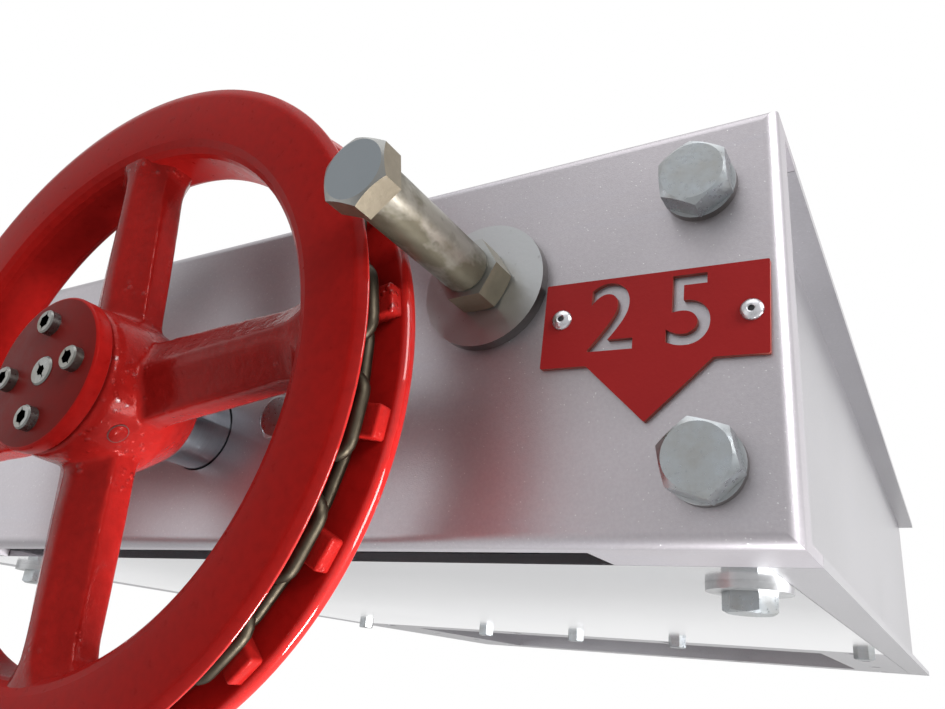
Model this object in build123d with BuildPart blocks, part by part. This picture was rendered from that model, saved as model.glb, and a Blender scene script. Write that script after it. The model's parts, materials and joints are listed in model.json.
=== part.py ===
# Slide gate: a flat blade in a bolted steel frame, driven by a hand chain wheel.
# Millimetres. +Z is up. +X runs along the yoke and +Y from the wheel to the passage.
# The origin is on the inlet flange's bolting face, in the middle of its front bar.
from build123d import *
from math import cos, radians, sin, sqrt, tan
import os

# Passage and frame
passage_width = 400
passage_length = 240
flange_bar = 35
side_bar = 50
flange_thickness = 10
frame_height = 160
retract_length = 470
rail_wall = 4
rail_lip = 17.5
rear_plate_thickness = 6
seam_gap = 0.3
cut_margin = 1

# Yoke, the folded channel across the front
yoke_sheet = 4
yoke_lip = 38
yoke_end_lip = 16
yoke_short_lip = 11
yoke_opening_setback = 5
yoke_bend = 5
end_plate_width = 36
end_plate_thickness = 16

# Covers over the space that the blade draws back into
cover_thickness = 4
cover_lug_length = 36
cover_lug_height = 26
cover_bolt_setback = 87
cover_bolt_side = 17
cross_plate_thickness = 20
cross_bolt_side = 93
cross_bolt_setback = 13

# Drive: heights and distances are taken from the shaft and from the yoke's face
shaft_height = 54.2
shaft_radius = 14
collar_radius = 18.4
collar_clearance = 0.6
journal_radius = 15
running_clearance = 0.05
thread_radius = 14.5
tail_radius = 10
collar_length = 17
spacer_length = 4
spacer_radius = 19
thrust_collar_radius = 23
thrust_collar_length = 8
housing_length = 26
housing_width = 150
housing_height = 66
housing_corner = 6

# Chain wheel
wheel_radius = 146.2
wheel_front = 67
front_flange = 7
flange_land = 1
flange_chamfer_width = 4
flange_taper = 6
groove_width = 18
back_flange = 6
groove_depth = 24.4
rim_thickness = 7
rim_inner_round = 6
rib_count = 19
rib_start_angle = 10.9
rib_width = 12.4
rib_height = 5
rib_root = 1
back_rib_setback = 3
front_rib_setback = 9
spoke_count = 4
spoke_angle = 5.5
spoke_hub_width = 40
spoke_rim_width = 27
spoke_depth = 27
spoke_side_land = 9
spoke_ridge = 5
spoke_root = 6
hub_radius = 32.4
hub_front = 76.2
hub_shoulder = 56
hub_neck_radius = 19.6
hub_bore_clearance = 0.05
hub_cone_flare = 12.5
hub_cone_start = 4
cap_thickness = 8
cap_screw_circle = 41
cap_screw_angle = 6
cap_screw_head_radius = 5
cap_screw_head = 4
cap_screw_socket = 2.5
cap_screw_socket_depth = 3
cap_edge_round = 1
centre_screw_radius = 6.2
centre_screw_height = 0.8
centre_screw_socket = 2
hub_pin_radius = 3.8
hub_pin_setback = 14.5
hub_pin_inset = 0.8
hub_pin_socket = 2
hub_pin_socket_depth = 3

# Hand chain
chain_links = 2 * rib_count
chain_clearance = 0.3
chain_wire = 5
chain_slack = 0.5
chain_width = 17

# Blade and its nut
blade_rise = 30
blade_thickness = 6
blade_overlap = 24
blade_length = 365
blade_open_gap = 3
blade_closed_reach = 12
guide_height = 20
guide_clearance = 0.5
guide_setback = 6
duct_wall = 5
duct_clearance = 0.8
moving_clearance = 5
nut_width = 60
nut_length = 50
nut_drop = 26
nut_clearance = 0.8
crosshead_width = 300
crosshead_length = 30
crosshead_thickness = 10

# Bolting holes in the two flanges
flange_hole_radius = 5.5
flange_hole_columns = 4
flange_hole_rows = 4

# Fasteners: width over flats, head height, shank radius
yoke_bolt_head_width = 24
yoke_bolt_head = 10
yoke_bolt_radius = 8
yoke_bolt_washer_radius = 13.5
yoke_bolt_washer = 3
yoke_bolt_side = 28
yoke_bolt_rise = 76.6
yoke_bolt_drop = 28.2
yoke_bolt_turns = (33, 42)
keeper_rise = 50.1
keeper_gap = 5
keeper_reach = 91
keeper_head = 10
keeper_head_width = 24
keeper_head_turn = 39
keeper_shank_radius = 9
keeper_nut_width = 24
keeper_nut_turn = 2
keeper_nut_height = 14
keeper_washer_radius = 27
keeper_washer = 5
keeper_tail = 20
bearing_bolt_side = 57
bearing_bolt_head_width = 19
bearing_bolt_head = 8
bearing_bolt_radius = 6
bearing_washer_radius = 12
bearing_washer = 2.5
cover_bolt_head_width = 19
cover_bolt_head = 8
cover_bolt_radius = 6
cover_washer_radius = 17
cover_washer = 3
cross_bolt_head_width = 13
cross_bolt_head = 5.5
cross_bolt_radius = 4
hole_clearance = 0.5
head_crown_share = 0.47

# Sign plates
sign_thickness = 2
sign_width = 82.6
sign_height = 34.4
sign_arrow_width = 46
sign_arrow_depth = 22
sign_tilt = -2.35
sign_corner_angle = -9.2
sign_washer_gap = 1.4
rivet_radius = 4
rivet_head = 1.6
rivet_shank_radius = 1.6
rivet_spots = ((-34, 2.2), (35.5, -1.2))

# Places that follow from the sizes above
inner_half = passage_width / 2 + side_bar
outer_half = inner_half + rail_lip
flange_front = -flange_bar / 2
passage_front = flange_bar / 2
passage_back = passage_front + passage_length
passage_middle = passage_front + passage_length / 2
flange_back = passage_back + flange_bar
yoke_face = flange_front - retract_length
rail_start = yoke_face + yoke_lip + seam_gap
shaft_z = -frame_height + shaft_height
blade_z = shaft_z + blade_rise
blade_top = blade_z + blade_thickness / 2
blade_bottom = blade_z - blade_thickness / 2
blade_half = passage_width / 2 + blade_overlap
blade_front = passage_front - blade_open_gap
blade_rear = blade_front - blade_length
blade_travel = passage_back + blade_closed_reach - blade_front
groove_floor_radius = wheel_radius - groove_depth
rim_inner_radius = groove_floor_radius - rim_thickness
chain_radius = groove_floor_radius + chain_clearance + chain_width / 2
keeper_distance = wheel_radius + keeper_gap + keeper_shank_radius
keeper_side = sqrt(keeper_distance ** 2 - keeper_rise ** 2)
wheel_back = wheel_front - front_flange - groove_width - back_flange
groove_middle = wheel_front - front_flange - groove_width / 2
neck_front = collar_length + spacer_length
housing_back = yoke_face + yoke_sheet + housing_length
cross_plate_front = flange_front - cross_plate_thickness
cover_front = rail_start
cover_back = flange_front - seam_gap
cover_half = inner_half - seam_gap
cross_bolt_sides = (0, cross_bolt_side, inner_half - cross_bolt_setback)

front = Plane(origin=(0, yoke_face, shaft_z), x_dir=(1, 0, 0), z_dir=(0, -1, 0))
axial = Plane(origin=(0, yoke_face, shaft_z), x_dir=(1, 0, 0), z_dir=(0, 0, 1))
shaft_axis = Axis((0, yoke_face, shaft_z), (0, 1, 0))

parts = {}


def keep(name, part):
    """Label a finished piece and note it for writing."""
    part.label = name
    parts[name] = part


def block(low, high):
    """A plain box between two corners."""
    with BuildPart() as box:
        with Locations(tuple((low[i] + high[i]) / 2 for i in range(3))):
            Box(*[high[i] - low[i] for i in range(3)])
    return box.part


def hex_bolt(flats, head, shank_radius, length, turn=0):
    """A hexagon bolt: under the head at the origin, shank along +Y."""
    corner = flats / 2 / cos(radians(30))
    crown = (corner - flats * head_crown_share) * tan(radians(30))
    with BuildPart() as bolt:
        with BuildSketch(Plane.XZ):
            RegularPolygon(
                radius=flats / 2, side_count=6, major_radius=False, rotation=turn
            )
        extrude(amount=head)
        with BuildSketch(Plane.XY):
            with BuildLine():
                Polyline(
                    (0, 0), (corner, 0), (corner, crown - head),
                    (flats * head_crown_share, -head), (0, -head), close=True,
                )
            make_face()
        revolve(axis=Axis.Y, mode=Mode.INTERSECT)
        with BuildSketch(Plane.XZ):
            Circle(shank_radius)
        extrude(amount=-length)
    return bolt.part


def hex_nut(flats, height, bore_radius, turn=0):
    """A hexagon nut: its seat at the origin, its body along +Y."""
    corner = flats / 2 / cos(radians(30))
    crown = (corner - flats * head_crown_share) * tan(radians(30))
    with BuildPart() as nut:
        with BuildSketch(Plane.XZ):
            RegularPolygon(
                radius=flats / 2, side_count=6, major_radius=False, rotation=turn
            )
            Circle(bore_radius, mode=Mode.SUBTRACT)
        extrude(amount=-height)
        with BuildSketch(Plane.XY):
            with BuildLine():
                Polyline(
                    (0, 0), (corner, 0), (corner, height - crown),
                    (flats * head_crown_share, height), (0, height), close=True,
                )
            make_face()
        revolve(axis=Axis.Y, mode=Mode.INTERSECT)
    return nut.part


def washer(radius, bore_radius, thickness):
    """A flat washer: its seat at the origin, its body along -Y."""
    with BuildPart() as ring:
        with BuildSketch(Plane.XZ):
            Circle(radius)
            Circle(bore_radius, mode=Mode.SUBTRACT)
        extrude(amount=thickness)
    return ring.part


def copies(shape, spots, turn=(0, 0, 0)):
    """The same small piece at several places, as solids that don't touch."""
    with BuildPart() as group:
        with Locations(*[Location(spot, turn) for spot in spots]):
            add(shape)
    return group.part


def from_shaft(x, z, y=0):
    """A place given from the shaft's axis and the yoke's face."""
    return (x, yoke_face + y, shaft_z + z)


# Yoke: one folded sheet with lips all round, open at the back
yoke_bolt_x = outer_half - yoke_bolt_side
yoke_bolt_heights = (yoke_bolt_rise, -yoke_bolt_drop)
yoke_bolt_spots = [(side * yoke_bolt_x, z) for side in (-1, 1) for z in yoke_bolt_heights]
keeper_spots = [(side * keeper_side, keeper_rise) for side in (-1, 1)]
bearing_spots = [(side * bearing_bolt_side, 0) for side in (-1, 1)]

with BuildPart() as yoke:
    with BuildSketch(front):
        with Locations((0, frame_height / 2 - shaft_height)):
            Rectangle(2 * outer_half, frame_height)
    extrude(amount=-yoke_lip)
    fillet(yoke.faces().sort_by(Axis.Y)[0].edges(), radius=yoke_bend)
    offset(amount=-yoke_sheet, openings=yoke.faces().sort_by(Axis.Y)[-1])
    with BuildSketch(front.offset(-yoke_end_lip)):
        with Locations((0, frame_height / 2 - shaft_height)):
            Rectangle(2 * (outer_half + cut_margin), frame_height - 2 * yoke_sheet)
    extrude(amount=-yoke_lip, mode=Mode.SUBTRACT)
    with BuildSketch(front.offset(-yoke_short_lip)):
        with Locations((0, frame_height / 2 - shaft_height)):
            Rectangle(2 * (passage_width / 2 - yoke_opening_setback), frame_height)
    extrude(amount=-yoke_lip, mode=Mode.SUBTRACT)
    with BuildSketch(front):
        Circle(collar_radius + collar_clearance)
        with Locations(*yoke_bolt_spots):
            Circle(yoke_bolt_radius + hole_clearance)
        with Locations(*keeper_spots):
            Circle(keeper_shank_radius + hole_clearance)
        with Locations(*bearing_spots):
            Circle(bearing_bolt_radius + hole_clearance)
    extrude(amount=-yoke_sheet, mode=Mode.SUBTRACT)
keep("yoke", yoke.part)

# Side rails: channels open to the outside, with an end plate for the yoke's bolts
lug_y = yoke_face + cover_bolt_setback
cross_bolt_y = flange_front - cross_plate_thickness / 2
cross_lug_width = 2 * cross_bolt_setback
cover_bolt_x = inner_half - cover_bolt_side
web_low = -frame_height + yoke_bend + seam_gap
web_high = -yoke_bend - seam_gap
with BuildPart() as side_rail_right:
    with BuildSketch(Plane(origin=(0, rail_start, 0), x_dir=(1, 0, 0), z_dir=(0, 1, 0))):
        with BuildLine():
            Polyline(
                (inner_half, 0), (outer_half, 0), (outer_half, rail_wall),
                (inner_half + rail_wall, rail_wall),
                (inner_half + rail_wall, frame_height - rail_wall),
                (outer_half, frame_height - rail_wall), (outer_half, frame_height),
                (inner_half, frame_height), close=True,
            )
        make_face()
    extrude(amount=flange_back - rail_start)
    add(block(
        (inner_half, yoke_face + yoke_sheet + seam_gap, web_low),
        (inner_half + rail_wall, rail_start, web_high),
    ))
    add(block(
        (inner_half - end_plate_width + rail_wall, yoke_face + yoke_sheet, web_low),
        (inner_half + rail_wall, yoke_face + yoke_sheet + end_plate_thickness, web_high),
    ))
    for low, high in (
        (-frame_height + cover_thickness, -frame_height + cover_thickness + cover_lug_height),
        (-cover_thickness - cover_lug_height, -cover_thickness),
    ):
        add(block(
            (cover_bolt_x - cover_bolt_side, lug_y - cover_lug_length / 2, low),
            (inner_half, lug_y + cover_lug_length / 2, high),
        ))
        add(block(
            (inner_half - cross_lug_width, cross_plate_front, low),
            (inner_half, flange_front, high),
        ))
    with BuildSketch(front.offset(-yoke_sheet)):
        with Locations(*[spot for spot in yoke_bolt_spots if spot[0] > 0]):
            Circle(yoke_bolt_radius + running_clearance)
    extrude(amount=-end_plate_thickness, mode=Mode.SUBTRACT)
    with BuildSketch(Plane.XY):
        with Locations((cover_bolt_x, lug_y)):
            Circle(cover_bolt_radius + running_clearance)
        with Locations((cross_bolt_sides[-1], cross_bolt_y)):
            Circle(cross_bolt_radius + running_clearance)
    extrude(amount=-frame_height, mode=Mode.SUBTRACT)
keep("side_rail_right", side_rail_right.part)

with BuildPart() as side_rail_left:
    mirror(side_rail_right.part, about=Plane.YZ)
keep("side_rail_left", side_rail_left.part)

# Covers: the same sheet below and above
cover_bolt_spots = [(side * cover_bolt_x, lug_y) for side in (-1, 1)]
cross_bolt_rows = sorted({way * side for side in cross_bolt_sides for way in (-1, 1)})
cross_bolt_spots = [(x, cross_bolt_y) for x in cross_bolt_rows]


def cover(top):
    """A flat cover whose upper face is at the given height."""
    with BuildPart() as sheet:
        with BuildSketch(Plane.XY.offset(top)):
            with Locations((0, (cover_front + cover_back) / 2)):
                Rectangle(2 * cover_half, cover_back - cover_front)
            with Locations(*cover_bolt_spots):
                Circle(cover_bolt_radius + hole_clearance, mode=Mode.SUBTRACT)
            with Locations(*cross_bolt_spots):
                Circle(cross_bolt_radius + hole_clearance, mode=Mode.SUBTRACT)
        extrude(amount=-cover_thickness)
    return sheet.part


keep("bottom_cover", cover(-frame_height + cover_thickness))
keep("top_cover", cover(0))

# Flanges: rectangular rings with the bolting holes
hole_x = inner_half - side_bar / 2
hole_y = passage_length / 2 + flange_bar / 2
hole_pitch_x = 2 * hole_x / (flange_hole_columns - 1)
hole_pitch_y = 2 * hole_y / (flange_hole_rows - 1)


def flange(top):
    """A ring round the passage whose upper face is at the given height."""
    with BuildPart() as ring:
        with BuildSketch(Plane.XY.offset(top)):
            with Locations((0, passage_middle)):
                Rectangle(2 * cover_half, flange_back - flange_front)
                Rectangle(passage_width, passage_length, mode=Mode.SUBTRACT)
            with Locations((0, passage_middle)):
                with GridLocations(hole_pitch_x, 2 * hole_y, flange_hole_columns, 2):
                    Circle(flange_hole_radius, mode=Mode.SUBTRACT)
                with GridLocations(2 * hole_x, hole_pitch_y, 2, flange_hole_rows - 2):
                    Circle(flange_hole_radius, mode=Mode.SUBTRACT)
        extrude(amount=-flange_thickness)
    return ring.part


keep("inlet_flange", flange(0))
keep("outlet_flange", flange(-frame_height + flange_thickness))


# Ducts: the passage's walls, above and below the blade
def duct(low, high):
    """Four walls round the passage between two heights."""
    with BuildPart() as walls:
        with BuildSketch(Plane.XY.offset(low)):
            with Locations((0, passage_middle)):
                Rectangle(passage_width + 2 * duct_wall, passage_length + 2 * duct_wall)
                Rectangle(passage_width, passage_length, mode=Mode.SUBTRACT)
        extrude(amount=high - low)
    return walls.part


keep("inlet_duct", duct(blade_top + duct_clearance, -flange_thickness))
keep("outlet_duct", duct(flange_thickness - frame_height, blade_bottom - duct_clearance))

# Plates across the frame: one closes the back, two stand before the passage
keep("rear_plate", block(
    (-cover_half, flange_back - rear_plate_thickness, flange_thickness - frame_height),
    (cover_half, flange_back, -flange_thickness),
))

guide_inner = passage_width / 2 + guide_setback
cross_half = guide_inner - seam_gap
with BuildPart() as lower_cross_plate:
    add(block(
        (-cross_half, cross_plate_front, cover_thickness - frame_height),
        (cross_half, flange_front, blade_bottom - moving_clearance),
    ))
    with BuildSketch(front):
        Circle(tail_radius + running_clearance)
    extrude(amount=-retract_length - cut_margin, mode=Mode.SUBTRACT)
    with BuildSketch(Plane.XY.offset(-frame_height)):
        with Locations(*cross_bolt_spots[1:-1]):
            Circle(cross_bolt_radius + running_clearance)
    extrude(amount=cover_thickness + cross_plate_thickness, mode=Mode.SUBTRACT)
keep("lower_cross_plate", lower_cross_plate.part)

with BuildPart() as upper_cross_plate:
    add(block(
        (-cross_half, cross_plate_front, blade_top + moving_clearance),
        (cross_half, flange_front, -cover_thickness),
    ))
    with BuildSketch(Plane.XY):
        with Locations(*cross_bolt_spots[1:-1]):
            Circle(cross_bolt_radius + running_clearance)
    extrude(amount=-cover_thickness - cross_plate_thickness, mode=Mode.SUBTRACT)
keep("upper_cross_plate", upper_cross_plate.part)

# Guides: bars above and below the blade's edges, welded to the rails
guide_front = rail_start
guide_back = flange_back - rear_plate_thickness - seam_gap
for side_name, side in (("left", -1), ("right", 1)):
    near = min(side * guide_inner, side * inner_half)
    far = max(side * guide_inner, side * inner_half)
    low = blade_bottom - guide_clearance
    high = blade_top + guide_clearance
    keep("lower_guide_" + side_name, block(
        (near, guide_front, low - guide_height), (far, guide_back, low),
    ))
    keep("upper_guide_" + side_name, block(
        (near, guide_front, high), (far, guide_back, high + guide_height),
    ))

# Bearing housing behind the yoke
with BuildPart() as bearing_housing:
    with BuildSketch(front.offset(-yoke_sheet)):
        Rectangle(housing_width, housing_height)
        Circle(journal_radius + running_clearance, mode=Mode.SUBTRACT)
        with Locations(*bearing_spots):
            Circle(bearing_bolt_radius + running_clearance, mode=Mode.SUBTRACT)
    extrude(amount=-housing_length)
    fillet(bearing_housing.edges().filter_by(Axis.Y).group_by(SortBy.LENGTH)[-1], radius=housing_corner)
keep("bearing_housing", bearing_housing.part)

# Fasteners of the yoke
yoke_shank = yoke_bolt_washer + yoke_sheet + end_plate_thickness
with BuildPart() as yoke_bolts:
    for height, turn in zip(yoke_bolt_heights, yoke_bolt_turns):
        add(copies(
            hex_bolt(yoke_bolt_head_width, yoke_bolt_head, yoke_bolt_radius, yoke_shank, turn),
            [from_shaft(side * yoke_bolt_x, height, -yoke_bolt_washer) for side in (-1, 1)],
        ))
keep("yoke_bolts", yoke_bolts.part)
keep("yoke_washers", copies(
    washer(yoke_bolt_washer_radius, yoke_bolt_radius + hole_clearance, yoke_bolt_washer),
    [from_shaft(x, z) for x, z in yoke_bolt_spots],
))
keeper_length = keeper_reach - keeper_head + keeper_tail
keep("keeper_bolts", copies(
    hex_bolt(
        keeper_head_width, keeper_head, keeper_shank_radius, keeper_length, keeper_head_turn
    ),
    [from_shaft(x, z, keeper_head - keeper_reach) for x, z in keeper_spots],
))
keeper_nut = hex_nut(
    keeper_nut_width, keeper_nut_height, keeper_shank_radius + running_clearance,
    keeper_nut_turn,
)
keep("keeper_nuts", copies(
    keeper_nut,
    [from_shaft(x, z, -keeper_washer - keeper_nut_height) for x, z in keeper_spots]
    + [from_shaft(x, z, yoke_sheet) for x, z in keeper_spots],
))
keep("keeper_washers", copies(
    washer(keeper_washer_radius, keeper_shank_radius + hole_clearance, keeper_washer),
    [from_shaft(x, z) for x, z in keeper_spots],
))
keep("bearing_bolts", copies(
    hex_bolt(
        bearing_bolt_head_width, bearing_bolt_head, bearing_bolt_radius,
        bearing_washer + yoke_sheet + housing_length,
    ),
    [from_shaft(x, z, -bearing_washer) for x, z in bearing_spots],
))
keep("bearing_washers", copies(
    washer(bearing_washer_radius, bearing_bolt_radius + hole_clearance, bearing_washer),
    [from_shaft(x, z) for x, z in bearing_spots],
))

# Fasteners of the covers, heads down below and heads up above
heads_down = (90, 0, 0)
heads_up = (-90, 0, 0)
cover_bolt = hex_bolt(
    cover_bolt_head_width, cover_bolt_head, cover_bolt_radius,
    cover_washer + cover_thickness + cover_lug_height,
)
cover_ring = washer(cover_washer_radius, cover_bolt_radius + hole_clearance, cover_washer)
cross_bolt = hex_bolt(
    cross_bolt_head_width, cross_bolt_head, cross_bolt_radius, cover_thickness + cross_plate_thickness
)
with BuildPart() as cover_bolts:
    add(copies(
        cover_bolt, [(x, y, -frame_height - cover_washer) for x, y in cover_bolt_spots], heads_down
    ))
    add(copies(cover_bolt, [(x, y, cover_washer) for x, y in cover_bolt_spots], heads_up))
keep("cover_bolts", cover_bolts.part)
with BuildPart() as cover_washers:
    add(copies(cover_ring, [(x, y, -frame_height) for x, y in cover_bolt_spots], heads_down))
    add(copies(cover_ring, [(x, y, 0) for x, y in cover_bolt_spots], heads_up))
keep("cover_washers", cover_washers.part)
with BuildPart() as cross_plate_bolts:
    add(copies(
        cross_bolt, [(x, y, -frame_height) for x, y in cross_bolt_spots], heads_down
    ))
    add(copies(cross_bolt, [(x, y, 0) for x, y in cross_bolt_spots], heads_up))
keep("cross_plate_bolts", cross_plate_bolts.part)

# Sign plates: a rectangle with a broad arrow below it, fixed by two rivets
sign_corner_radius = keeper_washer_radius + sign_washer_gap
sign_corner_side = keeper_side + sign_corner_radius * cos(radians(sign_corner_angle))
sign_corner_rise = keeper_rise + sign_corner_radius * sin(radians(sign_corner_angle))
sign_place = Location((sign_corner_side, sign_corner_rise, 0), (0, 0, sign_tilt)) * Location(
    (sign_width / 2, -sign_height / 2, 0)
)
with BuildPart() as sign_right:
    with BuildSketch(front):
        with Locations(sign_place):
            Polygon(
                (-sign_width / 2, sign_height / 2), (-sign_width / 2, -sign_height / 2),
                (-sign_arrow_width / 2, -sign_height / 2),
                (0, -sign_height / 2 - sign_arrow_depth),
                (sign_arrow_width / 2, -sign_height / 2),
                (sign_width / 2, -sign_height / 2), (sign_width / 2, sign_height / 2),
                align=None,
            )
            with Locations(*rivet_spots):
                Circle(rivet_shank_radius + running_clearance, mode=Mode.SUBTRACT)
    extrude(amount=sign_thickness)
keep("sign_right", sign_right.part)
with BuildPart() as sign_left:
    mirror(sign_right.part, about=Plane.YZ)
keep("sign_left", sign_left.part)

with BuildPart() as sign_rivets:
    with BuildSketch(front.offset(sign_thickness)):
        with Locations(sign_place):
            with Locations(*rivet_spots):
                Circle(rivet_radius)
    extrude(amount=rivet_head)
    with BuildSketch(front):
        with Locations(sign_place):
            with Locations(*rivet_spots):
                Circle(rivet_shank_radius)
    extrude(amount=sign_thickness)
    mirror(about=Plane.YZ)
keep("sign_rivets", sign_rivets.part)

# Chain wheel: rim with its chain groove, spokes and hub in one casting
hub_pin_turn = radians(spoke_angle - 180 / spoke_count)
hub_pin_plane = Plane(
    origin=from_shaft(0, 0, hub_pin_setback - hub_front), x_dir=(0, 1, 0),
    z_dir=(cos(hub_pin_turn), 0, sin(hub_pin_turn)),
)
with BuildPart() as chain_wheel:
    with BuildSketch(axial):
        with BuildLine():
            Polyline(
                (rim_inner_radius, -wheel_front),
                (wheel_radius - flange_chamfer_width, -wheel_front),
                (wheel_radius, flange_land - wheel_front),
                (wheel_radius, 2 * flange_land - wheel_front),
                (wheel_radius - flange_taper, front_flange - wheel_front),
                (groove_floor_radius, front_flange - wheel_front),
                (groove_floor_radius, -wheel_back - back_flange),
                (wheel_radius, -wheel_back - back_flange), (wheel_radius, -wheel_back),
                (rim_inner_radius, -wheel_back),
                close=True,
            )
        make_face()
    revolve(axis=shaft_axis)
    circles = chain_wheel.edges().filter_by(GeomType.CIRCLE).group_by(Axis.Y)
    inner_circles = [circles[i].sort_by(SortBy.RADIUS)[0] for i in (0, -1)]
    fillet(inner_circles, radius=rim_inner_round)
    for face_y, way, setback in (
        (wheel_back + back_flange, 1, back_rib_setback),
        (wheel_front - front_flange, -1, front_rib_setback),
    ):
        rib_radial = groove_depth - setback + rib_root
        with BuildSketch(front.offset(face_y)):
            with PolarLocations(
                wheel_radius - setback - rib_radial / 2, rib_count, start_angle=rib_start_angle
            ):
                Rectangle(rib_radial, rib_width)
        extrude(amount=way * rib_height)
    for i in range(spoke_count):
        turn = radians(spoke_angle + 360 / spoke_count * i)
        way = Vector(cos(turn), 0, sin(turn))
        for radius, width in (
            (hub_radius - spoke_root, spoke_hub_width),
            (groove_floor_radius - rim_thickness / 2, spoke_rim_width),
        ):
            spot = Vector(0, yoke_face - groove_middle, shaft_z) + way * radius
            with BuildSketch(Plane(origin=spot, x_dir=(0, 1, 0), z_dir=way)):
                Polygon(
                    (-spoke_depth / 2, -spoke_ridge / 2), (-spoke_depth / 2, spoke_ridge / 2),
                    (-spoke_side_land / 2, width / 2), (spoke_side_land / 2, width / 2),
                    (spoke_depth / 2, spoke_ridge / 2), (spoke_depth / 2, -spoke_ridge / 2),
                    (spoke_side_land / 2, -width / 2), (-spoke_side_land / 2, -width / 2),
                    align=None,
                )
        loft()
    with BuildSketch(axial):
        with BuildLine():
            Polyline(
                (0, -hub_front), (hub_radius, -hub_front), (hub_radius, -hub_shoulder),
                (hub_neck_radius + hub_cone_flare, -wheel_back - hub_cone_start),
                (hub_neck_radius, -neck_front), (0, -neck_front), close=True,
            )
        make_face()
    revolve(axis=shaft_axis)
    with BuildSketch(front):
        Circle(shaft_radius + hub_bore_clearance)
    extrude(amount=hub_front + cut_margin, mode=Mode.SUBTRACT)
    with BuildSketch(hub_pin_plane):
        Circle(hub_pin_radius + running_clearance)
    extrude(amount=hub_radius, mode=Mode.SUBTRACT)
keep("chain_wheel", chain_wheel.part)

# Set screw through the hub, halfway between two spokes
with BuildPart() as hub_pin:
    with BuildSketch(hub_pin_plane.offset(shaft_radius)):
        Circle(hub_pin_radius)
    extrude(amount=hub_radius - hub_pin_inset - shaft_radius)
    with BuildSketch(hub_pin_plane.offset(hub_radius - hub_pin_inset)):
        RegularPolygon(radius=hub_pin_socket, side_count=6, major_radius=False)
    extrude(amount=-hub_pin_socket_depth, mode=Mode.SUBTRACT)
keep("hub_pin", hub_pin.part)

# Hub cap with its screws
cap_screw_turns = [radians(cap_screw_angle + 90 * i) for i in range(4)]
cap_screw_spots = [
    (cap_screw_circle / 2 * cos(turn), cap_screw_circle / 2 * sin(turn))
    for turn in cap_screw_turns
]
with BuildPart() as hub_cap:
    with BuildSketch(front.offset(hub_front)):
        Circle(hub_radius)
    extrude(amount=cap_thickness)
    fillet(hub_cap.faces().sort_by(Axis.Y)[0].edges(), radius=cap_edge_round)
keep("hub_cap", hub_cap.part)

with BuildPart() as cap_screws:
    with BuildSketch(front.offset(hub_front + cap_thickness)):
        with Locations(*cap_screw_spots):
            Circle(cap_screw_head_radius)
    extrude(amount=cap_screw_head)
    with BuildSketch(front.offset(hub_front + cap_thickness + cap_screw_head)):
        with Locations(*cap_screw_spots):
            RegularPolygon(radius=cap_screw_socket, side_count=6, major_radius=False)
    extrude(amount=-cap_screw_socket_depth, mode=Mode.SUBTRACT)
keep("cap_screws", cap_screws.part)

with BuildPart() as centre_screw:
    with BuildSketch(front.offset(hub_front + cap_thickness)):
        Circle(centre_screw_radius)
        RegularPolygon(
            radius=centre_screw_socket, side_count=6, major_radius=False, mode=Mode.SUBTRACT
        )
    extrude(amount=centre_screw_height)
keep("centre_screw", centre_screw.part)

# Spacer, spindle and thrust collar
with BuildPart() as hub_spacer:
    with BuildSketch(front.offset(collar_length)):
        Circle(spacer_radius)
        Circle(shaft_radius + hub_bore_clearance, mode=Mode.SUBTRACT)
    extrude(amount=spacer_length)
keep("hub_spacer", hub_spacer.part)

shoulder = yoke_sheet - seam_gap
thrust_face = yoke_sheet + housing_length + seam_gap
tail_start = retract_length - cross_plate_thickness - seam_gap
with BuildPart() as spindle:
    with BuildSketch(axial):
        with BuildLine():
            Polyline(
                (0, -hub_front), (shaft_radius, -hub_front), (shaft_radius, -collar_length),
                (collar_radius, -collar_length), (collar_radius, shoulder),
                (journal_radius, shoulder), (journal_radius, thrust_face),
                (thread_radius, thrust_face), (thread_radius, tail_start),
                (tail_radius, tail_start), (tail_radius, retract_length),
                (0, retract_length), close=True,
            )
        make_face()
    revolve(axis=shaft_axis)
keep("spindle", spindle.part)

with BuildPart() as thrust_collar:
    with BuildSketch(front.offset(-thrust_face)):
        Circle(thrust_collar_radius)
        Circle(thread_radius + hub_bore_clearance, mode=Mode.SUBTRACT)
    extrude(amount=-thrust_collar_length)
keep("thrust_collar", thrust_collar.part)

# Hand chain: flat and upright links in turn, one closed loop in the groove
link_pitch = 2 * chain_radius * sin(radians(180 / chain_links))
link_bend = (chain_width - chain_wire) / 2
link_straight = (link_pitch + chain_slack + chain_wire) / 2 - link_bend
with BuildPart() as chain_link:
    with BuildLine():
        Line((0, -link_bend), (link_straight, -link_bend))
        ThreePointArc(
            (link_straight, -link_bend), (link_straight + link_bend, 0), (link_straight, link_bend)
        )
        Line((link_straight, link_bend), (-link_straight, link_bend))
        ThreePointArc(
            (-link_straight, link_bend), (-link_straight - link_bend, 0),
            (-link_straight, -link_bend),
        )
        Line((-link_straight, -link_bend), (0, -link_bend))
    with BuildSketch(Plane(origin=(0, -link_bend, 0), x_dir=(0, 1, 0), z_dir=(1, 0, 0))):
        RegularPolygon(radius=chain_wire / 2, side_count=6)
    sweep()

link_places = []
for i in range(chain_links):
    turn = radians(360 / chain_links * i + rib_start_angle)
    out = Vector(cos(turn), 0, sin(turn))
    along = Vector(-sin(turn), 0, cos(turn))
    spot = Vector(0, yoke_face - groove_middle, shaft_z) + out * chain_radius
    link_places.append(Plane(origin=spot, x_dir=along, z_dir=(0, 1, 0) if i % 2 == 0 else out))
with BuildPart() as hand_chain:
    with Locations(*[place.location for place in link_places]):
        add(chain_link.part, clean=False)
keep("hand_chain", hand_chain.part)

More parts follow.
